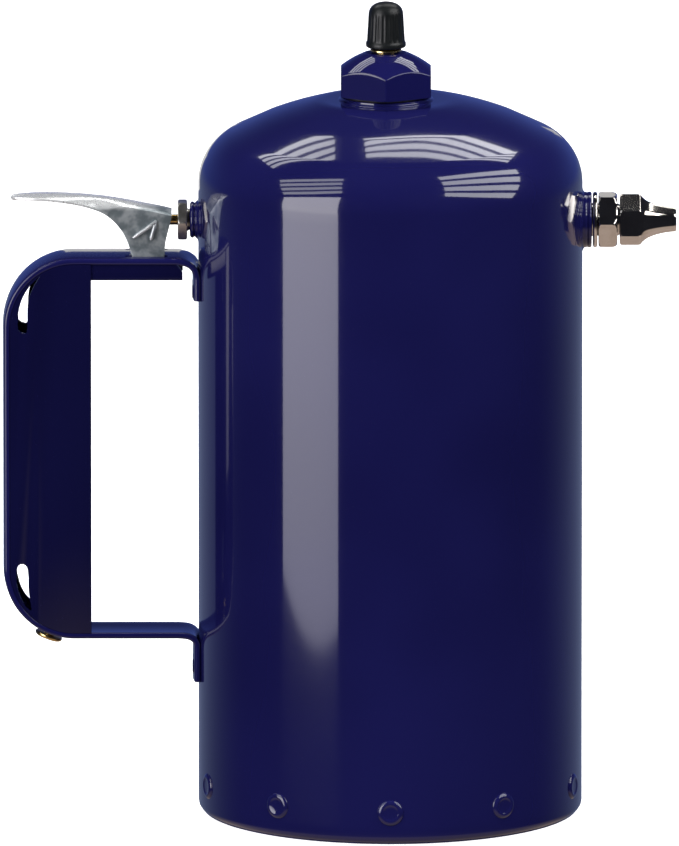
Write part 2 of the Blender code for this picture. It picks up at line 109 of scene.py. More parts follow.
class Finish(Graph):
    """One material: its constants go on the shader's own sockets, its patterns are Signals."""

    def __init__(self, name, **constants):
        self.material = bpy.data.materials.new(name)
        self.material.use_nodes = True
        super().__init__(self.material.node_tree)
        self.shader = self.tree.nodes["Principled BSDF"]
        for socket, value in constants.items():
            self.shader.inputs[socket.replace("_", " ")].default_value = value
        self.place = self.node("ShaderNodeTexCoord", output="Object")

    def stretched(self, x, y, z):
        """The place on the piece, scaled differently along each axis, for brushed and drawn marks."""
        return self.node("ShaderNodeMapping", {"vector_type": "POINT"}, {"Vector": self.place, "Scale": (x, y, z)})

    def noise(self, scale, detail, roughness=0.5, place=None):
        inputs = {"Vector": place or self.place, "Scale": scale, "Detail": detail, "Roughness": roughness}
        return self.node("ShaderNodeTexNoise", {"noise_dimensions": "3D"}, inputs)

    def cells(self, scale):
        inputs = {"Vector": self.place, "Scale": scale}
        return self.node("ShaderNodeTexVoronoi", {"feature": "DISTANCE_TO_EDGE"}, inputs)

    def edges(self):
        """Near 1 on convex edges, where plating and paint wear thin, near 0.5 on flats."""
        return self.node("ShaderNodeNewGeometry", output="Pointiness")

    def tool_rings(self, along, fine, coarse):
        """Fine rings round the axis that a piece was turned or polished on."""
        scale = (fine, coarse, coarse) if along == "X" else (coarse, coarse, fine)
        return self.noise(1.0, 2.0, 0.5, self.stretched(*scale))

    def drive(self, socket, signal):
        self.tree.links.new(signal.socket, self.shader.inputs[socket])

    def bump(self, signal, depth):
        """Relief of the given depth in metres, feeding the shader's normal."""
        relief = {"Height": signal, "Distance": depth, "Strength": 1.0}
        self.drive("Normal", self.node("ShaderNodeBump", None, relief))


def enamel(name, depth=1.0, coat=1.0, under=0.12, gloss=None):
    """Baked dark blue enamel: faint orange peel, slightly uneven film, dust specks and a few fine rub marks. Depth
    scales the colour; below 1 it stands for painted shade.
    """
    gloss_film = {"Coat_Weight": coat, "Coat_Roughness": 0.045, "Coat_IOR": 1.5}
    paint = Finish(name, **gloss_film, IOR=1.45, Specular_IOR_Level=under)
    film = paint.noise(14.0, 2.0)
    deep = (0.0053 * depth, 0.0052 * depth, 0.047 * depth, 1.0)
    bright = (0.0075 * depth, 0.0075 * depth, 0.063 * depth, 1.0)
    dust = paint.band(paint.noise(2600.0, 1.0), 0.76, 0.80)
    colour = paint.blend(paint.band(film, 0.3, 0.7), deep, bright)
    paint.drive("Base Color", paint.blend(dust * 0.35, colour, (0.045, 0.045, 0.11, 1.0)))
    rubs = paint.band(paint.noise(900.0, 2.0, 0.6, paint.stretched(1.0, 1.0, 0.05)), 0.62, 0.80)
    paint.drive("Roughness", 0.10 + 0.05 * paint.noise(60.0, 3.0) + 0.10 * rubs)
    peel = paint.noise(420.0, 2.0, 0.45) + 0.25 * paint.noise(60.0, 1.0)
    paint.bump(peel + 0.5 * dust, 0.000013)
    if gloss:
        paint.drive("Coat Weight", gloss(paint))
    return paint.material


def linked(name, data):
    """A new object in the scene, at the origin."""
    made = bpy.data.objects.new(name, data)
    bpy.context.scene.collection.objects.link(made)
    return made


def add_piece(name, points, faces, finish, sharp=35):
    """A finished piece in world millimetres, its object at the origin, with its normals facing out."""
    mesh = bpy.data.meshes.new(name)
    shape = bmesh.new()
    corners = [shape.verts.new((p[0] * MM, p[1] * MM, p[2] * MM)) for p in points]
    for face in faces:
        if len(set(face)) > 2:
            shape.faces.new([corners[i] for i in face])
    bmesh.ops.remove_doubles(shape, verts=shape.verts, dist=2e-7)
    bmesh.ops.dissolve_degenerate(shape, edges=shape.edges, dist=2e-7)
    bmesh.ops.recalc_face_normals(shape, faces=shape.faces)
    shape.to_mesh(mesh)
    shape.free()
    mesh.shade_smooth()
    mesh.set_sharp_from_angle(angle=math.radians(sharp))
    mesh.materials.append(finish)
    return linked(name, mesh)


def skin(rings, closed):
    """Points and faces through rings of equal length. Closed joins the last ring to the first."""
    count = len(rings[0])
    points = [tuple(point) for ring in rings for point in ring]
    faces = []
    for row in range(len(rings) if closed else len(rings) - 1):
        low, high = row * count, (row + 1) % len(rings) * count
        for i in range(count):
            j = (i + 1) % count
            faces.append((low + i, low + j, high + j, high + i))
    if not closed:
        faces.append(tuple(reversed(range(count))))
        faces.append(tuple(range(len(points) - count, len(points))))
    return points, faces


def eased(profile, reach):
    """A closed profile with each corner off the axis rounded, as tools and presses leave it."""
    out = []
    for i, here in enumerate(profile):
        before, after = profile[i - 1], profile[(i + 1) % len(profile)]
        if here[0] == 0:
            out.append(here)
            continue
        back, ahead = math.dist(here, before), math.dist(here, after)
        first = min(reach, back * 0.42) / max(back, 1e-9)
        last = min(reach, ahead * 0.42) / max(ahead, 1e-9)
        start = [here[k] + (before[k] - here[k]) * first for k in (0, 1)]
        end = [here[k] + (after[k] - here[k]) * last for k in (0, 1)]
        for t in (0.0, 1 / 3, 2 / 3, 1.0):
            weights = (1 - t) * (1 - t), 2 * t * (1 - t), t * t
            out.append(tuple(start[k] * weights[0] + here[k] * weights[1] + end[k] * weights[2] for k in (0, 1)))
    return out


def turned(name, profile, finish, centre=(0.0, 0.0, 0.0), along="Z", steps=96, shape=None, sharp=35):
    """A piece turned on a lathe from rows of (radius, height). shape(row, angle) gives a milled piece's radius."""
    rings = []
    for row in profile:
        ring = []
        for step in range(steps):
            angle = 2 * math.pi * step / steps
            radius = shape(row, angle) if shape else row[0]
            u, v, w = radius * math.cos(angle), radius * math.sin(angle), row[1]
            if along == "X":
                u, v, w = w, v, -u
            ring.append((centre[0] + u, centre[1] + v, centre[2] + w))
        rings.append(ring)
    return add_piece(name, *skin(rings, closed=True), finish, sharp)


def put(piece, body, node):
    """A finished piece rides on its body and stands for its CAD node, which is hidden."""
    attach(piece, body)
    if node:
        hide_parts(node)


def smooth(low, high, value):
    """0 below low, 1 above high, and a soft step between them."""
    t = min(max((value - low) / (high - low), 0.0), 1.0)
    return t * t * (3 - 2 * t)


canister_enamel = enamel("canister enamel")


def dome_rows(inset, fine):
    """The canister's wall from rim to neck, as (radius, height), on its outside or at an inset."""
    knuckle_r, knuckle_z, crown_r, centre_z = 15.0, 168.4, 90.0, 102.5
    rim, flat_z = 2.2, 190.6
    tangent = math.atan2(knuckle_z - centre_z, TANK_R - knuckle_r)
    rows = []
    for i in range(5):
        angle = math.radians(-90 + 90 * i / 4)
        rows.append((TANK_R - rim + (rim - inset) * math.cos(angle), rim + (rim - inset) * math.sin(angle)))
    for i in range(1, fine + 1):
        rows.append((TANK_R - inset, rim + (knuckle_z - rim) * i / fine))
    for i in range(1, 19):
        angle = tangent * i / 18
        radius = knuckle_r - inset
        rows.append((TANK_R - knuckle_r + radius * math.cos(angle), knuckle_z + radius * math.sin(angle)))
    for i in range(1, 11):
        radius = 36.0 - 2.0 * i
        if radius < rows[-1][0] - 0.5:
            shell_r = crown_r - inset
            rise = centre_z + math.sqrt(shell_r * shell_r - radius * radius)
            rows.append((radius, min(rise, flat_z - inset)))
    return rows + [(13.6, flat_z - inset), (12.3, flat_z - inset)]


def wall_point(radius, angle, z):
    """A point of the wall; near the neck its rings shift to the neck's own axis."""
    lean = (NECK_X - TANK_X) * (1 - smooth(14, 24, radius)) if z > 150 else 0.0
    return TANK_X + lean + radius * math.cos(angle), radius * math.sin(angle), z


WALL_T = 0.9
wall_rows = dome_rows(0.0, 60) + dome_rows(WALL_T, 10)[::-1]
shell_rings = [[wall_point(radius, 2 * math.pi * i / 240, z) for i in range(240)] for radius, z in wall_rows]
canister = add_piece("canister", *skin(shell_rings, closed=True), canister_enamel, 50)
put(canister, "canister", "tank_shell")


def weld_button_tree():
    """Geometry nodes that set one pressed button at each of the weld's stations round the base."""
    tree = bpy.data.node_groups.new("weld buttons", "GeometryNodeTree")
    kinds = {"Button": "Geometry", "Count": "Int", "Radius": "Float", "Height": "Float", "Material": "Material"}
    for name, kind in kinds.items():
        tree.interface.new_socket(name, in_out="INPUT", socket_type=f"NodeSocket{kind}")
    tree.interface.new_socket("Geometry", in_out="OUTPUT", socket_type="NodeSocketGeometry")
    graph = Graph(tree)
    sockets = tree.nodes.new("NodeGroupInput").outputs
    button, count, radius, height, material = (Signal(graph, sockets[name]) for name in kinds)
    ring = graph.node("GeometryNodeMeshCircle", None, {"Vertices": count, "Radius": radius})
    lift = graph.node("ShaderNodeCombineXYZ", None, {"X": TANK_X * MM, "Z": height})
    points = graph.node("GeometryNodeTransform", None, {"Geometry": ring, "Translation": lift})
    turn = graph.node("GeometryNodeInputIndex") * (2 * math.pi / count)
    aim = graph.node("ShaderNodeCombineXYZ", None, {"Z": turn})
    placing = {"Points": points, "Instance": button, "Rotation": aim}
    placed = graph.node("GeometryNodeInstanceOnPoints", None, placing)
    real = graph.node("GeometryNodeRealizeInstances", None, {"Geometry": placed})
    painted = graph.node("GeometryNodeSetMaterial", None, {"Geometry": real, "Material": material})
    tree.links.new(painted.socket, tree.nodes.new("NodeGroupOutput").inputs["Geometry"])
    return tree


def modified(piece):
    """The piece's mesh as its modifiers leave it."""
    bpy.context.view_layer.update()
    return bpy.data.meshes.new_from_object(piece.evaluated_get(bpy.context.evaluated_depsgraph_get()))


def grown(name, seed_piece, tree, values):
    """Runs a geometry-nodes tree on a piece and returns the plain mesh it makes; the seed piece goes."""
    change = seed_piece.modifiers.new(tree.name, "NODES")
    change.node_group = tree
    for item in tree.interface.items_tree:
        if item.in_out == "INPUT" and item.name in values:
            change[item.identifier] = values[item.name]
    made = linked(name, modified(seed_piece))
    bpy.data.objects.remove(seed_piece, do_unlink=True)
    return made


button_rows = [(0, -0.7), (3.45, -0.7), (3.45, -0.06), (3.3, 0.16), (3.1, 0.34), (2.85, 0.48), (2.6, 0.57)]
button_rows += [(2.35, 0.598), (2.15, 0.57), (1.95, 0.49), (1.7, 0.43), (1.0, 0.4), (0, 0.4)]
one_button = turned("button", button_rows, canister_enamel, along="X", steps=40)
weld_sizes = {"Count": 10, "Radius": TANK_R * MM, "Height": 8.6 * MM, "Material": canister_enamel}
weld_buttons = grown("weld_buttons", one_button, weld_button_tree(), weld_sizes)
# The first station of the ring of welds sits at +X, so the ring is turned to bring one to the front.
quarter = math.radians(-90)
for corner in weld_buttons.data.vertices:
    x, y = corner.co.x - TANK_X * MM, corner.co.y
    corner.co.x = TANK_X * MM + x * math.cos(quarter) - y * math.sin(quarter)
    corner.co.y = x * math.sin(quarter) + y * math.cos(quarter)
weld_buttons.data.shade_smooth()
put(weld_buttons, "canister", None)


def weld_fillet(name, side, inner, outer, rise):
    """The fillet of weld round a boss, which flows back into the wall."""
    # Each ring's reach from the boss's axis, and how far it stands proud of the wall.
    rows = []
    for ring in range(16):
        t = ring / 15
        rows.append((inner + (outer - inner) * t, rise * (1 - t) ** 2.2 - 0.06 * t))
    rings = []
    for reach, lift in rows + [(outer - 0.5, -0.45), (inner, -0.45)]:
        points = []
        for i in range(96):
            angle = 2 * math.pi * i / 96
            y, z = reach * math.cos(angle), reach * math.sin(angle)
            points.append((TANK_X + side * (math.sqrt(TANK_R**2 - y * y) + lift), y, AXIS_Z + z))
        rings.append(points)
    return add_piece(name, *skin(rings, closed=True), canister_enamel, 60)


put(weld_fillet("outlet_collar", 1, 7.45, 8.9, 0.45), "canister", None)
put(weld_fillet("gland_collar", -1, 4.95, 6.3, 0.4), "canister", None)


# ----------------
# Bottom. A dished steel pressing let into the canister, its flange level with the rim.
# It is enamelled with the canister.

bottom_enamel = enamel("bottom enamel")
flange_r, sheet_t, floor_z = 49.6, 0.9, 11.0
dish = [(flange_r, 0.0), (flange_r, 6.0)]
dish += [(flange_r - 5 + 5 * math.cos(a), 6.0 + 5 * math.sin(a)) for a in np.linspace(0.15, 1.5, 8)]
dish += [(r, floor_z + 5.0 * (1 - (r / 44.6) ** 2)) for r in np.linspace(41, 0, 14)]
under = [(r, z - sheet_t) for r, z in dish[:1:-1]]
under = [(max(r - (sheet_t if z < 9.5 else 0.35), 0) if r > 43 else r, z) for r, z in under]
bottom_profile = dish + under + [(flange_r - sheet_t, 6.0), (flange_r - sheet_t, 0.0)]
bottom = turned("bottom", bottom_profile, bottom_enamel, (TANK_X, 0, 0), steps=120)
put(bottom, "canister", "bottom_head")


# ----------------
# Filler. A threaded bung is welded into the crown. A hexagon cap screws into it over a rubber
# gasket; the cap was sprayed on the canister, so film bridges the corner under it.


def hexagon(flats, corner_deg, ease):
    """A mill for turned(): rows marked 'hex' are cut to a hexagon, with its corners slightly eased."""

    def mill(row, angle):
        if len(row) < 3:
            return row[0]
        wide = row[2] if isinstance(row[2], float) else flats
        from_corner = (angle - math.radians(corner_deg)) % (math.pi / 3)
        flat = wide / 2 / math.cos(from_corner - math.pi / 6)
        lesser, gap = min(row[0], flat), abs(row[0] - flat)
        return lesser - ease * math.log1p(math.exp(-gap / ease))

    return mill


def hexed(*rows):
    """Rows marked for the hexagon mill."""
    return [(*row, "hex") for row in rows]


def fitted(name, rows, finish, body, slot, axis, steps, **milling):
    """A piece turned about an axis, in the place of the CAD node of its own name."""
    put(turned(name, rows, finish, *axis, steps, **milling), body, name)


filler_enamel = enamel("filler enamel")
filler_axis = ((NECK_X, 0, 0), "Z")
neck_rows = [(9.8, 183.0), (12.0, 183.0), (12.0, 190.2), (12.6, 190.5), (12.6, 190.75), (12.0, 191.0)]
neck_rows = eased(neck_rows + [(12.0, 191.6), (9.8, 191.6)], 0.3)
fitted("filler_neck", neck_rows, filler_enamel, "canister", "blue_enamel", filler_axis, 120)

# The cap's hexagon, the seat under it, and the cone above it.
cap_flats = 23.8
corner_r = cap_flats / math.sqrt(3)
seat_z, cone_z, top_z, top_r = 192.2, 198.1, 203.2, 5.6
cap_rise = (top_z - cone_z) / (corner_r - top_r)


def off_the_flats(paint):
    """1 on the cap's cone and 0 on its six flats, where spanners have rubbed the gloss away."""
    x, y, z = paint.axes(paint.place)
    x = x - NECK_X * MM
    reach = (x * x + y * y) ** 0.5
    cone = (cone_z + cap_rise * corner_r) * MM - cap_rise * reach
    return paint.band(z - cone, -0.0003, -0.0001)


cap_enamel = enamel("filler cap enamel", under=0.01, gloss=off_the_flats)
cap_rows = [(6.6, 184.5), (9.4, 184.5), (9.4, seat_z), (11.6, seat_z)]
cap_rows += hexed(*((r, seat_z + 0.35 * max(0.0, r - 13.2)) for r in np.linspace(11.7, 14.0, 12)))
cap_rows += hexed(*((14.6, z) for z in np.linspace(192.7, 197.0, 8)), (14.4, 197.55))
for r in np.linspace(14.1, 6.0, 46):
    bulge = 0.45 * math.sin(math.pi * min(1.0, max(0.0, (corner_r - r) / (corner_r - top_r))))
    row = (r, cone_z + cap_rise * (corner_r - r) + bulge)
    cap_rows += hexed(row) if r > 9.5 else [row]
cap_rows += [(top_r, 203.12), (5.2, top_z), (3.5, top_z), (3.5, 190.0), (6.6, 190.0)]
cap_mill = hexagon(cap_flats, -90.0, 0.06)
fitted("filler_cap", cap_rows, cap_enamel, "filler", "blue_enamel", filler_axis, 240, shape=cap_mill, sharp=60)


def moulded_rubber(name):
    """Black rubber: matt, slightly bloomed, with a fine mould grain."""
    rubber = Finish(name, IOR=1.5)
    bloom = rubber.noise(180.0, 4.0)
    black, grey = (0.012, 0.012, 0.012, 1.0), (0.035, 0.034, 0.033, 1.0)
    rubber.drive("Base Color", rubber.blend(rubber.band(bloom, 0.4, 0.7), black, grey))
    rubber.drive("Roughness", 0.62 + 0.25 * bloom)
    rubber.bump(rubber.noise(2500.0, 2.0), 0.00002)
    return rubber.material


gasket_rubber = moulded_rubber("gasket rubber")
gasket_rows = eased([(9.9, 191.64), (11.1, 191.64), (11.25, 191.9), (11.1, 192.16), (9.9, 192.16)], 0.12)
fitted("cap_gasket", gasket_rows, gasket_rubber, "filler", "black_rubber", filler_axis, 96)


# ----------------
# Tyre valve. A turned brass body screwed into the filler cap, with the usual core and pin.
# A moulded black cap with grip ribs keeps the dirt out.


def turned_brass(name, along):
    """Machined brass: fine tool rings, slightly darkened in patches, brighter on its edges."""
    brass = Finish(name, Metallic=1.0)
    tarnish = brass.noise(160.0, 4.0, 0.6)
    edge = brass.band(brass.edges(), 0.50, 0.60)
    dull = brass.blend(brass.band(tarnish, 0.35, 0.7), (0.58, 0.40, 0.15, 1.0), (0.78, 0.58, 0.25, 1.0))
    brass.drive("Base Color", brass.blend(edge * 0.6, dull, (0.92, 0.76, 0.42, 1.0)))
    brass.drive("Roughness", 0.16 + 0.16 * tarnish)
    brass.bump(brass.tool_rings(along, 9000.0, 60.0), 0.000006)
    return brass.material


def thread(first, pitch, turns, crest, root, groove):
    """A thread drawn as rings; groove holds where each turn's groove starts, bottoms and ends."""
    rows = []
    for turn in range(turns):
        z = first + pitch * turn
        rows += [(crest, z), (crest, z + groove[0]), (root, z + groove[1]), (root, z + groove[2])]
    return rows


valve_brass = turned_brass("valve brass", "Z")
valve_rows = [(1.8, 190.6), (3.2, 190.6), (3.2, 203.5), (3.85, 203.52), (4.1, 203.75), (4.1, 204.1), (3.9, 204.35)]
valve_rows += [(3.5, 204.6), *thread(205.0, 0.45, 16, 3.75, 3.45, (0.12, 0.26, 0.34)), (3.5, 212.8), (3.2, 213.2)]
valve_rows += [(2.5, 213.2), (2.35, 213.0), (2.35, 205.2), (1.8, 205.2)]
fitted("tyre_valve_body", valve_rows, valve_brass, "filler", "brass", filler_axis, 64)
core_rows = [(0.85, 205.5), (2.05, 205.5), (2.05, 208.0), (1.8, 208.3), (1.8, 209.0), (2.05, 209.3)]
core_rows = eased(core_rows + [(2.05, 211.0), (1.7, 211.6), (0.85, 211.6)], 0.15)
fitted("tyre_valve_core", core_rows, valve_brass, "filler", "brass", filler_axis, 40)


def bare_steel(name, along="X"):
    """Turned steel, lightly plated: soft grey with warm spots and fine tool rings."""
    steel = Finish(name, Metallic=1.0)
    spots = steel.noise(240.0, 4.0, 0.6)
    warm, grey = (0.42, 0.40, 0.36, 1.0), (0.62, 0.60, 0.56, 1.0)
    steel.drive("Base Color", steel.blend(steel.band(spots, 0.35, 0.7), warm, grey))
    steel.drive("Roughness", 0.22 + 0.22 * spots)
    steel.bump(steel.tool_rings(along, 7000.0, 80.0), 0.000008)
    return steel.material


pin_steel = bare_steel("valve pin steel", "Z")
pin_rows = [(0, 202.6), (1.4, 202.6), (1.4, 203.6), (0.55, 204.2), (0.55, 212.6), (0.35, 212.9), (0, 212.9)]
fitted("tyre_valve_pin", eased(pin_rows, 0.1), pin_steel, "valve_pin", "bare_steel", filler_axis, 32)


def moulded_plastic(name):
    """Moulded black plastic: satin, with a little mould texture and handling shine on the ribs."""
    plastic = Finish(name, IOR=1.48, Specular_IOR_Level=0.35)
    worn = plastic.noise(220.0, 3.0)
    edge = plastic.band(plastic.edges(), 0.50, 0.58)
    plastic.drive("Base Color", plastic.blend(edge * 0.5, (0.0035, 0.0045, 0.005, 1.0), (0.012, 0.014, 0.015, 1.0)))
    plastic.drive("Roughness", 0.30 + 0.18 * worn - 0.08 * edge)
    plastic.bump(plastic.noise(3200.0, 3.0), 0.000012)
    return plastic.material


cap_plastic = moulded_plastic("dust cap plastic")
rib_count = 24


def ribbed(row, angle):
    """Presses grip ribs into the side of the cap; they fade out at the rim and at the crown."""
    if len(row) < 3:
        return row[0]
    rib = abs(math.cos(rib_count * angle / 2)) ** 1.6
    fade = smooth(206.3, 207.2, row[1]) * (1 - smooth(212.8, 214.4, row[1]))
    return row[0] - 0.15 * fade * (1 - rib)


dust_rows = [(4.05, 204.7), (4.9, 204.7), (5.2, 204.85), (5.3, 205.15), (5.3, 205.8), (5.2, 206.1), (5.03, 206.3)]
dust_rows += [(5.0 - 0.0275 * i, 206.5 + 0.46 * i, "rib") for i in range(16)]
dust_rows += [(4.55, 213.9), (4.45, 214.4), (4.25, 214.9), (3.92, 215.4), (3.45, 215.85), (2.8, 216.25)]
dust_rows += [(1.95, 216.55), (1.0, 216.75), (0, 216.8), (0, 214.6), (3.2, 214.4), (3.75, 213.9), (4.05, 213.2)]
fitted("dust_cap", dust_rows, cap_plastic, "dust_cap", "black_plastic", filler_axis, 240, shape=ribbed, sharp=60)


# ----------------
# Gland. A threaded boss welded through the wall, soft packing in it, and a hexagon nut that
# squeezes the packing round the brass rod. The boss is enamelled, the nut plated.

outlet_axis = ((TANK_X, 0, AXIS_Z), "X")
boss_enamel = enamel("boss enamel")
gland_rows = [(3.3, -53.0), (4.3, -53.0), (4.75, -52.7), (4.85, -52.3), (4.75, -51.95), (4.5, -51.85), (4.5, -51.65)]
gland_rows += [(4.9, -51.45), (4.9, -43.0), (4.1, -43.0), (4.1, -46.6), (1.7, -46.6), (1.7, -48.6), (3.3, -48.6)]
fitted("gland_boss", eased(gland_rows, 0.2), boss_enamel, "canister", "blue_enamel", outlet_axis, 96)

packing_white = Finish("packing", IOR=1.38)
soiled, clean = (0.70, 0.69, 0.62, 1.0), (0.86, 0.86, 0.82, 1.0)
packing_white.drive("Base Color", packing_white.blend(packing_white.noise(300.0, 3.0), soiled, clean))
packing_white.drive("Roughness", 0.45 + 0.2 * packing_white.noise(500.0, 2.0))
packing_white.bump(packing_white.noise(1500.0, 2.0), 0.00002)
packing_rows = eased([(1.45, -50.6), (3.0, -50.6), (3.0, -48.9), (1.45, -48.9)], 0.2)
fitted("gland_packing", packing_rows, packing_white.material, "canister", "white_packing", outlet_axis, 48)

nut_steel = bare_steel("packing nut steel")
nut_rows = [(1.45, -56.2), (4.2, -56.2), *hexed((4.9, -56.18), (5.3, -56.1), (5.55, -55.97), (5.75, -55.78))]
nut_rows += hexed((5.75, -54.15), (5.55, -53.95), (5.3, -53.82), (4.9, -53.74)) + [(4.2, -53.7), (3.0, -53.7)]
nut_rows += thread(-53.5, 0.42, 6, 2.98, 2.7, (0.1, 0.22, 0.3)) + [(2.9, -50.8), (1.45, -50.8)]
nut_mill = hexagon(9.8, 30.0, 0.06)
fitted("packing_nut", nut_rows, nut_steel, "canister", "bare_steel", outlet_axis, 144, shape=nut_mill, sharp=50)


# ----------------
# Valve rod. Drawn brass rod across the canister: an eye for the lever's pin at one end, a seal
# against the outlet at the other, and a collar that the return spring pushes.


def baked(piece, sharp):
    """Leaves the piece as its modifiers shape it, as a plain mesh, with their helpers removed."""
    mesh = modified(piece)
    mesh.shade_smooth()
    mesh.set_sharp_from_angle(angle=math.radians(sharp))
    helpers = [m.object for m in piece.modifiers if m.type == "BOOLEAN"]
    piece.modifiers.clear()
    piece.data = mesh
    for helper in helpers:
        bpy.data.objects.remove(helper, do_unlink=True)


def shaped(piece, tool, operation):
    """Adds a Boolean against a helper, which baked() removes again."""
    change = piece.modifiers.new(operation.lower(), "BOOLEAN")
    change.operation = operation
    change.solver = "EXACT"
    change.object = tool


def crossways(name, radius, half, finish, ease):
    """A short cylinder along Y through the lever's pin, with eased ends, for the rod's eye and its hole."""
    rings = []
    for reach, y in eased([(0, -half), (radius, -half), (radius, half), (0, half)], ease):
        angles = [2 * math.pi * i / 48 for i in range(48)]
        rings.append([(PIN_X + reach * math.cos(a), y, AXIS_Z + reach * math.sin(a)) for a in angles])
    return add_piece(name, *skin(rings, closed=True), finish)


PIN_X = TANK_X - 62.1
rod_brass = turned_brass("rod brass", "X")
rod_rows = [(0, -62.5), (1.4, -62.5), (1.4, -30.6), (2.7, -30.6), (2.7, -29.4), (1.4, -29.4), (1.4, 43.0)]
rod_rows = eased(rod_rows + [(2.8, 43.4), (2.8, 45.2), (0, 45.2)], 0.12)
rod = turned("valve_rod", rod_rows, rod_brass, *outlet_axis, 40)
shaped(rod, crossways("eye", 2.0, 1.85, rod_brass, 0.4), "UNION")
shaped(rod, crossways("eye_hole", 0.97, 5.0, rod_brass, 0.25), "DIFFERENCE")
baked(rod, 35)
put(rod, "rod", "valve_rod")
seal_rows = eased([(0, 45.5), (2.9, 45.5), (2.9, 46.9), (0, 46.9)], 0.25)
fitted("valve_seal", seal_rows, gasket_rubber, "rod", "black_rubber", outlet_axis, 40)


# ----------------
# Lever. One pressed strip of zinc-plated steel: bowed thumb rest, folded sides that become two
# ears, and feet that rock in slots in the handle. A cotter pin joins it to the rod.


def zinc_plate(name):
    """Bright zinc over pressed steel: soft mottling, rolling marks along the strip, worn shiny edges, and a painted
    highlight that turns the lever's top near-white.
    """
    zinc = Finish(name, Metallic=0.72)
    mottle = zinc.noise(330.0, 2.0, 0.6)
    grains = zinc.cells(520.0)
    edge = zinc.band(zinc.edges(), 0.505, 0.57)
    height = zinc.axes(zinc.place)[2]
    # Painted highlight: above about 161.7 mm the colour goes near-white, standing in for light on the lever's top;
    # the zinc is also less rough there.
    painted_top_highlight = zinc.band(height + 0.0006 * mottle, 0.1617, 0.1634)
    dull = zinc.blend(zinc.band(mottle, 0.35, 0.68), (0.19, 0.23, 0.25, 1.0), (0.40, 0.44, 0.46, 1.0))
    shade = zinc.blend(painted_top_highlight, dull, (0.93, 0.95, 0.95, 1.0))
    zinc.drive("Base Color", zinc.blend(edge * 0.5, shade, (0.90, 0.91, 0.92, 1.0)))
    rolled = zinc.noise(1.0, 1.0, 0.5, zinc.stretched(90.0, 700.0, 260.0))
    zinc.drive("Roughness", 0.26 + 0.20 * mottle + 0.06 * rolled - 0.12 * painted_top_highlight)
    zinc.bump(rolled + 0.6 * zinc.noise(330.0, 1.0) + 0.3 * grains, 0.000006)
    return zinc.material


def through(knots, count):
    """A smooth curve through knots of any width, sampled evenly (Catmull-Rom)."""
    head = tuple(2 * a - b for a, b in zip(knots[0], knots[1]))
    tail = tuple(2 * a - b for a, b in zip(knots[-1], knots[-2]))
    line = [head, *knots, tail]
    out = []
    spans = len(knots) - 1
    for i in range(count):
        t = i / (count - 1) * spans
        k = min(int(t), spans - 1)
        u = t - k
        point = []
        for a, b, c, d in zip(*line[k : k + 4]):
            bow = (2 * a - 5 * b + 4 * c - d) * u * u + (3 * b - a - 3 * c + d) * u**3
            point.append(0.5 * (2 * b + (c - a) * u + bow))
        out.append(tuple(point))
    return out


EAR_Y = 5.2
lever_zinc = zinc_plate("lever zinc")
# Each station along the strip: its top, half its width and height at the crease, and the foot of its side.
lever_stations = [
    (-100.3, 164.75, 1.4, 164.60, -100.3, 164.30),
    (-99.2, 164.95, 2.6, 164.70, -99.2, 164.30),
    (-97.0, 165.15, 3.7, 164.75, -97.0, 164.30),
    (-93.0, 165.30, 4.6, 164.75, -93.0, 164.20),
    (-88.0, 165.30, 5.2, 164.40, -88.0, 163.80),
    (-83.5, 165.10, 5.4, 163.70, -83.5, 163.20),
    (-80.0, 164.85, 5.4, 162.80, -80.0, 162.40),
    (-77.4, 164.60, 5.35, 161.95, -77.3, 161.50),
    (-75.2, 164.35, 5.3, 162.05, -75.0, 160.30),
    (-73.2, 164.05, 5.2, 162.45, -72.9, 158.50),
    (-71.2, 163.75, 5.2, 162.60, -70.9, 156.00),
    (-69.6, 163.45, 5.2, 162.55, -69.4, 153.00),
    (-68.2, 163.20, 5.2, 162.35, -68.3, 149.60),
    (-67.2, 163.00, 5.2, 162.15, -66.9, 146.60),
    (-65.8, 162.70, 5.2, 161.90, -66.0, 146.30),
    (-63.8, 162.30, 5.2, 161.50, -63.4, 146.25),
    (-61.6, 161.85, 5.2, 161.10, -60.6, 146.40),
    (-60.2, 161.55, 5.2, 160.80, -59.9, 147.00),
    (-59.2, 161.30, 5.2, 160.60, -59.5, 152.60),
    (-58.4, 161.10, 5.2, 160.40, -58.6, 156.60),
    (-57.8, 160.95, 5.2, 160.30, -57.9, 159.40),
]
lever_rings = []
for x, top, half, crease, low_x, low_z in through(lever_stations, 110):
    low_z = min(low_z, crease - 0.08)
    ridge = half * 0.5
    side = [(x + (low_x - x) * t, -half, crease + (low_z - crease) * t) for t in np.linspace(1, 0, 10)]
    for t in np.linspace(0.0, 1.0, 8)[1:]:
        rise = t + 0.16 * math.sin(math.pi * t)
        side.append((x, -half + (half - ridge) * t, crease + (top - 0.08 - crease) * rise))
    crown = [(x, y, top - 0.08 + 0.25 * (1 - (y / ridge) ** 2)) for y in np.linspace(-ridge, ridge, 9)[1:-1]]
    ring = side + crown + [(px, -py, pz) for px, py, pz in side[::-1]]
    lever_rings.append([(TANK_X + px, py, pz) for px, py, pz in ring])
width = len(lever_rings[0])
starts = [row * width + i for row in range(len(lever_rings) - 1) for i in range(width - 1)]
lever_faces = [(a, a + width, a + width + 1, a + 1) for a in starts]
lever = add_piece("lever", [p for ring in lever_rings for p in ring], lever_faces, lever_zinc, 60)


def deburred(piece, width, segments, angle):
    """Rounds the edges sharper than an angle."""
    change = piece.modifiers.new("deburred", "BEVEL")
    change.width = width * MM
    change.segments = segments
    change.limit_method = "ANGLE"
    change.angle_limit = math.radians(angle)


wall = lever.modifiers.new("sheet", "SOLIDIFY")
wall.thickness = 0.9 * MM
wall.offset = -1.0
wall.use_even_offset = False
deburred(lever, 0.18, 2, 55)
if sum(f.normal.z * f.area for f in lever.data.polygons) < 0:
    lever.data.flip_normals()
baked(lever, 50)
put(lever, "lever", "lever")


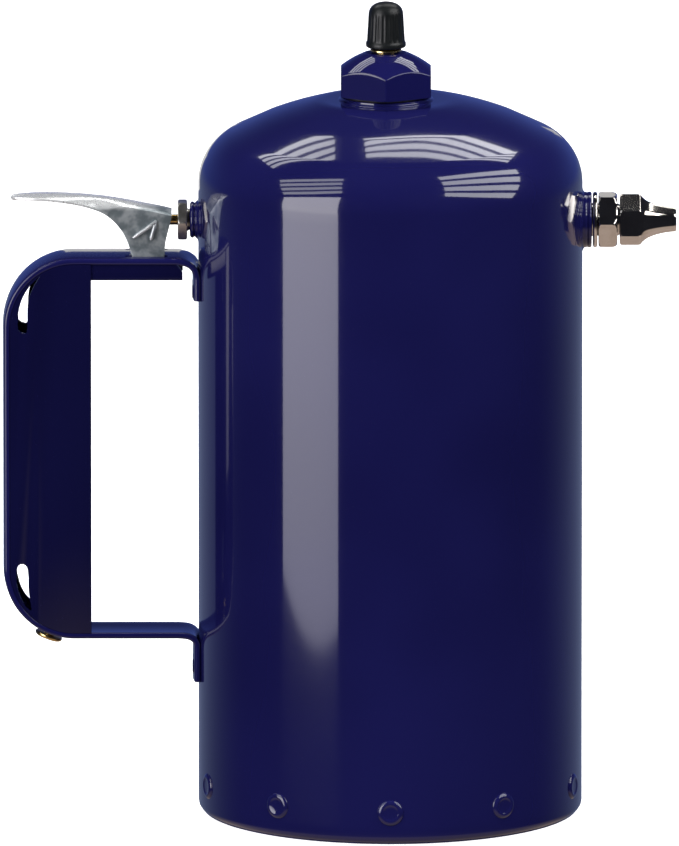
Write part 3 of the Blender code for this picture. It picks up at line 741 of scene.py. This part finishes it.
def wire(name, path, radius, finish, steps):
    """Round wire along a path; the ends are rounded off."""
    path = [np.array(p, float) for p in path]
    rings = []
    side = None
    last = len(path) - 1
    angles = np.arange(steps) * 2 * math.pi / steps
    for i, point in enumerate(path):
        run = path[min(i + 1, last)] - path[max(i - 1, 0)]
        run = run / np.linalg.norm(run)
        if side is None:
            side = np.array([0, 0, 1.0]) if abs(run[2]) < 0.9 else np.array([1.0, 0, 0])
        side = side - run * side.dot(run)
        side /= np.linalg.norm(side)
        other = np.cross(run, side)
        size = radius * 0.55 if i in (0, last) else radius
        rings.append([tuple(point + size * (side * math.cos(a) + other * math.sin(a))) for a in angles])
    return add_piece(name, *skin(rings, closed=False), finish, 60)


pin_zinc = zinc_plate("cotter pin zinc")
# The two halves of the pin's wire: which side of its eye each makes, and how its leg bends.
legs = {
    1: [(-0.9, -0.75, -0.35), (-2.2, -0.95, -1.35), (-5.9, -1.05, -3.9)],
    -1: [(-0.25, -0.75, -0.9), (-0.55, -0.9, -1.9), (-1.2, -1.0, -4.3)],
}
front, loop_r = -EAR_Y, 1.35
halves = []
for sign, leg in legs.items():
    rise = 0.30 * sign
    level = AXIS_Z + rise
    path = [(PIN_X + 0.2, EAR_Y + 4.6, AXIS_Z + rise * 0.5)] if sign < 0 else []
    for a in np.radians(np.linspace(75, -60, 9)):
        path.append((PIN_X + sign * loop_r * math.cos(a), EAR_Y + 2.9 + loop_r * math.sin(a), level))
    path += [(PIN_X + 0.25 * sign, EAR_Y + 0.6, level), (PIN_X, EAR_Y - 0.4, level), (PIN_X, 0, level)]
    path += [(PIN_X, front + 0.4, level), (PIN_X - 0.1, front - 0.45, AXIS_Z + rise * 0.8)]
    path += [(PIN_X + dx, front + dy, AXIS_Z + rise * 0.3 + dz) for dx, dy, dz in leg]
    halves.append(wire(f"pin_half_{sign}", through(path, 70), 0.52, pin_zinc, 12))
with bpy.context.temp_override(active_object=halves[0], selected_editable_objects=halves):
    bpy.ops.object.join()
cotter = halves[0]
cotter.name = "cotter_pin"
put(cotter, "lever", "cotter_pin")


# ----------------
# Outlet. A stout boss is welded through the wall and enamelled with it. A washer and a
# nickel-plated hexagon adapter screw into it, and the tapered hexagon nozzle screws onto that.

outlet_rows = [(4.1, 43.0), (7.4, 43.0), (7.4, 51.6), (7.2, 52.0), (7.4, 52.4), (7.4, 52.9), (7.1, 53.2)]
outlet_rows += [(4.75, 53.2), (4.75, 49.2), (1.7, 49.2), (1.7, 47.0), (4.1, 47.0)]
fitted("outlet_boss", eased(outlet_rows, 0.2), boss_enamel, "canister", "blue_enamel", outlet_axis, 120)


def bright_nickel(name):
    """Polished nickel plate: mirror-like with a faint warm cast, polishing lines and a few stains."""
    nickel = Finish(name, Metallic=1.0)
    stain = nickel.noise(130.0, 4.0, 0.6)
    edge = nickel.band(nickel.edges(), 0.505, 0.56)
    shade = nickel.blend(nickel.band(stain, 0.35, 0.7), (0.66, 0.61, 0.56, 1.0), (0.76, 0.73, 0.69, 1.0))
    nickel.drive("Base Color", nickel.blend(edge * 0.5, shade, (0.90, 0.88, 0.85, 1.0)))
    lines = nickel.tool_rings("X", 5000.0, 200.0)
    nickel.drive("Roughness", 0.06 + 0.08 * stain + 0.02 * lines)
    nickel.bump(lines + 0.5 * stain, 0.000004)
    return nickel.material


outlet_nickel = bright_nickel("outlet nickel")
washer_rows = eased([(4.75, 53.5), (7.0, 53.5), (7.35, 53.8), (7.35, 54.4), (7.0, 54.7), (4.75, 54.7)], 0.15)
fitted("outlet_washer", washer_rows, outlet_nickel, "canister", "bright_nickel", outlet_axis, 96)

adapter_rows = [(1.6, 49.5), (4.2, 49.5)] + thread(49.8, 0.5, 10, 4.4, 4.1, (0.12, 0.26, 0.36))
adapter_rows += [(4.4, 55.0), (6.9, 55.0)]
adapter_rows += hexed((7.2, 55.04), (7.5, 55.2), (7.7, 55.4), *((7.9, x) for x in np.linspace(55.7, 58.8, 6)))
adapter_rows += hexed((7.6, 59.2), (7.3, 59.5), (7.0, 59.75), (6.6, 59.95)) + [(6.2, 60.0), (4.2, 60.0)]
adapter_rows += thread(60.3, 0.48, 11, 4.2, 3.88, (0.1, 0.24, 0.34)) + [(4.0, 65.6), (1.6, 65.6)]
milled = {"shape": hexagon(13.4, 30.0, 0.05), "sharp": 40}
fitted("nozzle_adapter", adapter_rows, outlet_nickel, "canister", "bright_nickel", outlet_axis, 180, **milled)

# The nozzle's taper: reach of its corners, and the hexagon that is milled from it, along its length.
taper = [(66.0, 6.85, 11.8), (66.7, 5.95, 10.8), (67.6, 5.20, 9.55), (69.0, 4.50, 8.2), (71.0, 3.85, 7.0)]
taper = through(taper + [(73.2, 3.42, 6.25), (75.2, 3.22, 5.95)], 26)
nozzle_rows = [(4.5, 60.6), (6.0, 60.6)] + hexed((6.35, 60.62), (6.6, 60.75), (7.0, 61.0))
nozzle_rows += hexed(*((7.2, x) for x in np.linspace(61.4, 65.0, 6)), (7.0, 65.5))
nozzle_rows += [(reach, x, float(flats)) for x, reach, flats in taper]
nozzle_rows += [(3.05, 75.5, 5.9), (2.7, 75.6), (2.0, 75.6), (1.85, 75.5), (1.2, 74.6), (1.2, 66.0), (4.5, 66.0)]
milled = {"shape": hexagon(11.9, 0.0, 0.05), "sharp": 40}
fitted("spray_nozzle", nozzle_rows, outlet_nickel, "nozzle", "bright_nickel", outlet_axis, 180, **milled)


# ----------------
# Handle. A strap of steel bent into a hoop with a tab at each end, welded to the canister, with
# a U-shaped sheet inside it that fills the hand. Both are enamelled after welding.

handle_enamel = enamel("handle enamel", coat=0.7)
STRAP_LEFT = TANK_X - 102.5
CORNER_R = 19.0
ARM_TOP, ARM_LOW = 149.5, 46.4
STRAP_T, STRAP_W = 1.6, 16.0


def bend(cx, cz, radius, start, end, count):
    angles = np.radians(np.linspace(start, end, count))
    return [(cx + radius * math.cos(a), cz + radius * math.sin(a)) for a in angles]


half_t, half_w = STRAP_T / 2, STRAP_W / 2
tab_x = TANK_X - TANK_R - half_t + 0.05
corner_x = STRAP_LEFT + CORNER_R
upper_r, lower_r = 5.4, 2.8
hoop = [(tab_x, z) for z in np.linspace(137.7, 142.4, 6)]
hoop += bend(tab_x - upper_r, ARM_TOP - half_t - upper_r, upper_r, 0, 90, 16)
hoop += [(x, ARM_TOP - half_t) for x in np.linspace(tab_x - upper_r - 1, corner_x + 1, 24)]
hoop += bend(corner_x, ARM_TOP - CORNER_R, CORNER_R - half_t, 90, 180, 40)
hoop += [(STRAP_LEFT + half_t, z) for z in np.linspace(129, 67, 20)]
hoop += bend(corner_x, ARM_LOW + CORNER_R, CORNER_R - half_t, 180, 270, 40)
hoop += [(x, ARM_LOW + half_t) for x in np.linspace(corner_x + 1, tab_x - lower_r - 0.6, 24)]
hoop += bend(tab_x - lower_r, ARM_LOW + half_t - lower_r, lower_r, 90, 0, 10)
hoop += [(tab_x, z) for z in np.linspace(43.9, 35.1, 8)]


def strap_section():
    """The strap's section: across its width and through its thickness, with rolled edges."""
    edge_r = 0.62
    out = []
    for across, up, start in ((1, 1, 0), (-1, 1, 90), (-1, -1, 180), (1, -1, 270)):
        for a in np.radians(np.linspace(start, start + 90, 5)):
            y, n = across * (half_w - edge_r), up * (half_t - edge_r)
            out.append((y + edge_r * math.cos(a), n + edge_r * math.sin(a)))
        if across == up:
            out += [(up * y, up * half_t) for y in (5.0, 2.5, 0.0, -2.5, -5.0)]
    return out


def plate(name, outline, low, high, finish):
    """A flat sheet cut to an outline in X and Z, between two Y planes."""
    return add_piece(name, *skin([[(x, y, z) for x, z in outline] for y in (low, high)], closed=False), finish)


def oblong(left, right, low, high):
    return [(left, low), (right, low), (right, high), (left, high)]


crown = 0.42
strap_rings = []
for i, (x, z) in enumerate(hoop):
    before, after = hoop[max(i - 1, 0)], hoop[min(i + 1, len(hoop) - 1)]
    run = np.array([after[0] - before[0], after[1] - before[1]])
    run = run / np.linalg.norm(run)
    out = np.array([run[1], -run[0]])
    tab = smooth(tab_x - 4.5, tab_x - 0.5, x)
    ring = []
    for y, n in strap_section():
        n -= crown * (1 - tab) * (2 * y / STRAP_W) ** 2
        hug = tab * (TANK_R - math.sqrt(TANK_R * TANK_R - y * y))
        ring.append((x + out[0] * n + hug, y, z + out[1] * n))
    strap_rings.append(ring)
strap = add_piece("handle_strap", *skin(strap_rings, closed=False), handle_enamel, 40)
for side in (-1, 1):
    low_y, high_y = sorted((side * (EAR_Y + 0.3), side * (EAR_Y - 1.3)))
    slot = oblong(TANK_X - 70.0, TANK_X - 58.9, 146, 152)
    shaped(strap, plate("slot", slot, low_y, high_y, handle_enamel), "DIFFERENCE")
baked(strap, 40)
put(strap, "canister", "handle_strap")

# Projection welds hold the tabs to the canister.
nugget_rows = [(0, 0.4), (1.9, 0.4), (1.95, 0.0), (1.75, -0.2), (1.4, -0.26), (1.0, -0.2), (0.5, -0.12), (0, -0.1)]
nuggets = []
for z in (139.8, 38.8):
    for y in (-4.2, 4.2):
        x = tab_x - half_t + TANK_R - math.sqrt(TANK_R * TANK_R - y * y)
        nuggets.append(turned("nugget", nugget_rows, handle_enamel, (x, y, z), "X", 40))
with bpy.context.temp_override(active_object=nuggets[0], selected_editable_objects=nuggets):
    bpy.ops.object.join()
nuggets[0].name = "handle_welds"
put(nuggets[0], "canister", None)


# ----------------
# Grip. Sheet steel folded to a U, its sides inside the strap's edges, its corners relieved by
# two slots, and a narrow flange on under the upper arm to stiffen it.

# The grip's enamel is painted at half the canister's colour. This is painted shade on the panel set inside the strap.
grip_enamel = enamel("grip enamel in painted shade", 0.5)
inset = STRAP_T + 0.3
grip_t = 0.9
grip_left, grip_right = STRAP_LEFT + inset, TANK_X - 79.2
grip_top, grip_low = ARM_TOP - inset, ARM_LOW + inset
side_outline = [(grip_right, grip_low), (grip_right, grip_top)]
side_outline += bend(corner_x, ARM_TOP - CORNER_R, CORNER_R - inset, 90, 180, 28)
side_outline += bend(corner_x, ARM_LOW + CORNER_R, CORNER_R - inset, 180, 270, 28)
grip = plate("grip", side_outline, -half_w, -half_w + grip_t, grip_enamel)
shaped(grip, plate("other_side", side_outline, half_w - grip_t, half_w, grip_enamel), "UNION")
web_outline = oblong(grip_left, grip_left + grip_t, 70.0, 130.0)
shaped(grip, plate("web", web_outline, -half_w, half_w, grip_enamel), "UNION")
flange = [(-84.0, grip_top), (-56.4, grip_top), (-54.9, 145.4), (-54.9, 143.3), (-84.0, 143.3)]
flange = [(TANK_X + x, z) for x, z in flange]
for side in (-1, 1):
    near, far = sorted((side * (half_w - 0.6), side * (half_w - 0.6 - grip_t)))
    shaped(grip, plate("flange", flange, near, far, grip_enamel), "UNION")
# The relief slots' edges, there and back.
upper_slot = [(-98.4, 129.9), (-97.2, 129.2), (-96.0, 129.8), (-95.8, 137.0), (-94.4, 141.3), (-92.6, 144.4)]
upper_slot = through(upper_slot, 24)
upper_slot += through([(-92.8, 144.4), (-95.3, 141.8), (-97.2, 138.6), (-98.2, 135.2), (-98.5, 131.5)], 14)
lower_slot = [(-99.0, 64.4), (-98.5, 66.4), (-97.4, 67.0), (-96.2, 66.2), (-95.8, 63.8), (-95.7, 59.6), (-94.9, 54.6)]
lower_slot = through(lower_slot, 24) + through([(-95.2, 54.3), (-96.6, 55.7), (-98.0, 58.3), (-98.9, 61.6)], 14)
for slot_line in (upper_slot, lower_slot):
    shaped(grip, plate("relief", [(TANK_X + x, z) for x, z in slot_line], -20, 20, grip_enamel), "DIFFERENCE")
deburred(grip, 0.24, 3, 45)
baked(grip, 40)
put(grip, "canister", "grip_channel")

rivet_brass = turned_brass("rivet brass", "Z")
rivet_rows = [(0, 16.0), (2.2, 16.0), (2.5, 16.4), (2.5, 17.0), (1.3, 17.0), (1.3, 19.2), (3.7, 19.2), (3.7, 19.9)]
rivet = turned("corner_rivet", eased(rivet_rows + [(3.2, 20.3), (0, 20.3)], 0.25), rivet_brass, steps=64)
tilt = math.radians(90 - 250.0)
for corner in rivet.data.vertices:
    x, z = corner.co.x, corner.co.z
    corner.co.x = (corner_x - 0.3) * MM + x * math.cos(tilt) + z * math.sin(tilt)
    corner.co.z = (ARM_LOW + CORNER_R - 0.7) * MM - x * math.sin(tilt) + z * math.cos(tilt)
put(rivet, "canister", "corner_rivet")


# ----------------
# Inside. A brass tube joins the two bosses and carries the rod; a dip tube takes liquid to it
# from the bottom; a coil spring shuts the valve.

tube_brass = turned_brass("tube brass", "X")
cross_rows = eased([(3.1, -46.3), (3.8, -46.3), (3.8, 46.7), (3.1, 46.7)], 0.15)
fitted("cross_tube", cross_rows, tube_brass, "canister", "brass", outlet_axis, 48)
dip_rows = eased([(2.1, 24.0), (2.8, 24.0), (2.8, AXIS_Z - 4.1), (2.1, AXIS_Z - 4.1)], 0.15)
fitted("dip_tube", dip_rows, tube_brass, "canister", "brass", ((TANK_X, 0, 0), "Z"), 40)
spring_steel = bare_steel("spring steel")
turns, per_turn, coil_r = 6, 24, 2.25
coil = []
for i in range(turns * per_turn + 1):
    angle = 2 * math.pi * i / per_turn
    x = -45.9 + 14.7 * i / (turns * per_turn)
    coil.append((TANK_X + x, coil_r * math.cos(angle), AXIS_Z + coil_r * math.sin(angle)))
spring = wire("return_spring", coil, 0.3, spring_steel, 10)
put(spring, "canister", "return_spring")


# ----------------
# Studio. A white room with a window and slatted lights that the enamel mirrors, two large soft
# lamps, and a long lens a little above the sprayer.

scene = bpy.context.scene
floor_mesh = bpy.data.meshes.new("floor")
shape = bmesh.new()
bmesh.ops.create_circle(shape, cap_ends=True, segments=96, radius=9.0)
shape.to_mesh(floor_mesh)
shape.free()
floor = linked("floor", floor_mesh)
floor.location.z = -0.0002
floor_white = Finish("floor white", Roughness=0.9, Emission_Color=(1.0, 1.0, 1.0, 1.0), Emission_Strength=0.9)
shades = (0.88, 0.88, 0.88, 1.0), (0.90, 0.90, 0.90, 1.0)
floor_white.drive("Base Color", floor_white.blend(floor_white.noise(3.0, 2.0), *shades))
floor_mesh.materials.append(floor_white.material)
floor.visible_glossy = False
floor.visible_shadow = False
floor.visible_diffuse = False


def card(name, corners, strength, colour=(1.0, 1.0, 1.0, 1.0), fade=None):
    """A lit card through rows of corners, dimmer below a height. The lens can't see it."""
    mesh = bpy.data.meshes.new(name)
    count = len(corners[0])
    starts = [row * count + i for row in range(len(corners) - 1) for i in range(count - 1)]
    faces = [(a, a + 1, a + count + 1, a + count) for a in starts]
    mesh.from_pydata([tuple(map(float, p)) for row in corners for p in row], [], faces)
    glow = Finish(name, Base_Color=(0.0, 0.0, 0.0, 1.0), Emission_Color=colour, Emission_Strength=strength)
    if fade:
        height = glow.axes(glow.place)[2]
        glow.drive("Emission Color", glow.blend(glow.band(height, *fade), (0.50, 0.49, 0.56, 1.0), colour))
    mesh.materials.append(glow.material)
    made = linked(name, mesh)
    made.visible_camera = False
    made.visible_shadow = False


world = bpy.data.worlds.new("studio")
scene.world = world
world.use_nodes = True
room = Graph(world.node_tree)
across, above = room.axes(room.node("ShaderNodeTexCoord", output="Generated"))[1:]
low_behind = room.band(across, 0.10, 0.95) * room.band(above, -0.75, -0.15) * room.band(above, 0.55, 0.05)
haze = room.blend(room.band(above, -0.17, 0.0), (0.125, 0.155, 0.26, 1.0), (0.055, 0.085, 0.30, 1.0))
dim = room.blend(low_behind, (0.012, 0.013, 0.018, 1.0), haze)
table = room.band(above, -0.30, -0.62)
lit = room.blend(table, dim, (0.46, 0.37, 0.32, 1.0))
# The lens sees plain white behind the sprayer; only reflections see the room.
seen = room.node("ShaderNodeLightPath", output="Is Camera Ray")
shown = room.blend(seen, lit, (1.1, 1.1, 1.1, 1.0))
room.tree.links.new(shown.socket, world.node_tree.nodes["Background"].inputs["Color"])


def lamp(name, place, target, size, power):
    """A square soft light that faces a point, in metres. Reflections don't show it."""
    data = bpy.data.lights.new(name, "AREA")
    data.shape = "RECTANGLE"
    data.size, data.size_y = size, size
    data.energy = power
    made = linked(name, data)
    made.location = place
    made.rotation_euler = (mathutils.Vector(target) - mathutils.Vector(place)).to_track_quat("-Z", "Y").to_euler()
    made.visible_camera = False
    made.visible_glossy = False


middle = (0.0, 0.0, 0.10)
lamp("overhead", (-0.2, -0.5, 1.9), middle, 1.6, 30.0)
lamp("front", (0.9, -1.6, 0.9), middle, 1.2, 14.0)


# The window, whose sill slants.
near, far = np.array((-1.126, -0.493)), np.array((-0.629, -1.071))
panes = []
for left, right in ((-0.168, -0.185), (0.455, 0.754)):
    panes.append([(*(near + (far - near) * t), left + (right - left) * t) for t in (0.0, 1.0)])
card("window", panes, 6.0, (1.0, 0.97, 1.0, 1.0), fade=(-0.2, 0.10))


def louvres(name, open_part, strength, upper, lower):
    """Four lit slats between two curved edges, as light falls through a row of tubes or a blind."""
    upper, lower = np.array(through(upper, 14)), np.array(through(lower, 14))
    for slat in range(4):
        steps = [(slat + edge) / 4 for edge in (0.5 - open_part / 2, 0.5 + open_part / 2)]
        card(f"{name}_{slat}", [upper * (1 - t) + lower * t for t in steps], strength)


louvres(
    "tubes_left_back", 0.62, 4.2,
    [(-0.792, 0.937, 1.198), (-0.476, 1.075, 1.246), (-0.281, 1.021, 1.360)],
    [(-1.069, 0.319, 1.331), (-0.582, 0.616, 1.524), (-0.301, 0.704, 1.567)],
)
louvres(
    "tubes_right_back", 0.66, 5.2,
    [(-0.136, 0.898, 1.479), (0.013, 0.944, 1.454), (0.215, 1.012, 1.386), (0.4, 1.06, 1.299), (0.575, 1.13, 1.154)],
    [(-0.128, 0.658, 1.616), (0.072, 0.649, 1.625), (0.253, 0.677, 1.594)]
    + [(0.502, 0.695, 1.525), (0.918, 0.581, 1.371)],
)
louvres(
    "blind_left", 0.62, 3.7,
    [(-1.260, -0.130, 1.178), (-0.920, -0.371, 1.450), (-0.537, -0.500, 1.614)],
    [(-1.445, -0.598, 0.623), (-1.139, -0.960, 0.838), (-0.717, -1.193, 1.031)],
)
louvres(
    "blind_right", 0.66, 5.6,
    [(0.545, -0.407, 1.648), (0.874, -0.010, 1.541), (1.137, 0.420, 1.257)],
    [(0.850, -1.238, 0.856), (1.299, -0.920, 0.618), (1.598, -0.392, 0.327)],
)
# Small cards behind the handle and the nozzle, for the light lines in their own enamel and plating.
card("handle_card", [[(x, 0.150, z) for x in (-0.080, -0.034)] for z in (0.138, 0.173)], 0.75)
card("nozzle_card", [[(x, 0.100, z) for x in (0.066, 0.0742)] for z in (0.179, 0.190)], 0.6)

# A lens 8 m away sees a field as wide as the sprayer with a margin.
lens_distance, field_width, sensor_width = 8.0, 0.2239, 36.0
elevation = math.radians(11.0)
target_z = 0.1035
camera_data = bpy.data.cameras.new("camera")
camera_data.sensor_width = sensor_width
camera_data.lens = sensor_width * lens_distance / field_width
camera = linked("camera", camera_data)
camera.location = (0.0, -lens_distance * math.cos(elevation), target_z + lens_distance * math.sin(elevation))
camera.rotation_euler = (math.radians(90.0) - elevation, 0.0, 0.0)
scene.camera = camera
scene.view_settings.view_transform = "Standard"
